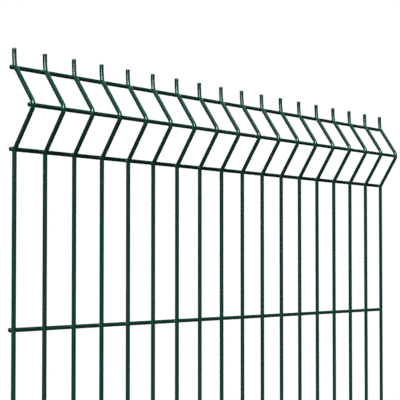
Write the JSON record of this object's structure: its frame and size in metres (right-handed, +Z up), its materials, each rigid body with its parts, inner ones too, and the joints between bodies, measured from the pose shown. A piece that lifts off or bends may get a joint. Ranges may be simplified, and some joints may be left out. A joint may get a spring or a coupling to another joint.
{
  "type": "welded mesh fence panel",
  "caption": "Rigid fence panel of green coated welded steel wire, with a V-shaped stiffening fold along the top and the bottom and short wire tips above.",
  "frame": {"origin": "Middle of the cut foot of the first vertical wire, at ground level: the panel's lower left corner, seen from the front.", "axes": "+X runs along the panel to the right, +Y from the front, where the folds point, to the back, +Z is up."},
  "size_m": [0.856, 0.0377, 1.016],
  "materials": {
    "coated_wire": "satin"
  },
  "bodies": {
    "root": {"bottom_fold_apex_wire": "coated_wire", "bottom_fold_lower_wire": "coated_wire", "bottom_fold_upper_wire": "coated_wire", "field_wire_1": "coated_wire", "field_wire_2": "coated_wire", "field_wire_3": "coated_wire", "top_fold_apex_wire": "coated_wire", "top_fold_lower_wire": "coated_wire", "top_fold_upper_wire": "coated_wire", "vertical_wire_01": "coated_wire", "vertical_wire_02": "coated_wire", "vertical_wire_03": "coated_wire", "vertical_wire_04": "coated_wire", "vertical_wire_05": "coated_wire", "vertical_wire_06": "coated_wire", "vertical_wire_07": "coated_wire", "vertical_wire_08": "coated_wire", "vertical_wire_09": "coated_wire", "vertical_wire_10": "coated_wire", "vertical_wire_11": "coated_wire", "vertical_wire_12": "coated_wire", "vertical_wire_13": "coated_wire", "vertical_wire_14": "coated_wire", "vertical_wire_15": "coated_wire", "vertical_wire_16": "coated_wire", "vertical_wire_17": "coated_wire", "vertical_wire_18": "coated_wire"}
  },
  "joints": []
}
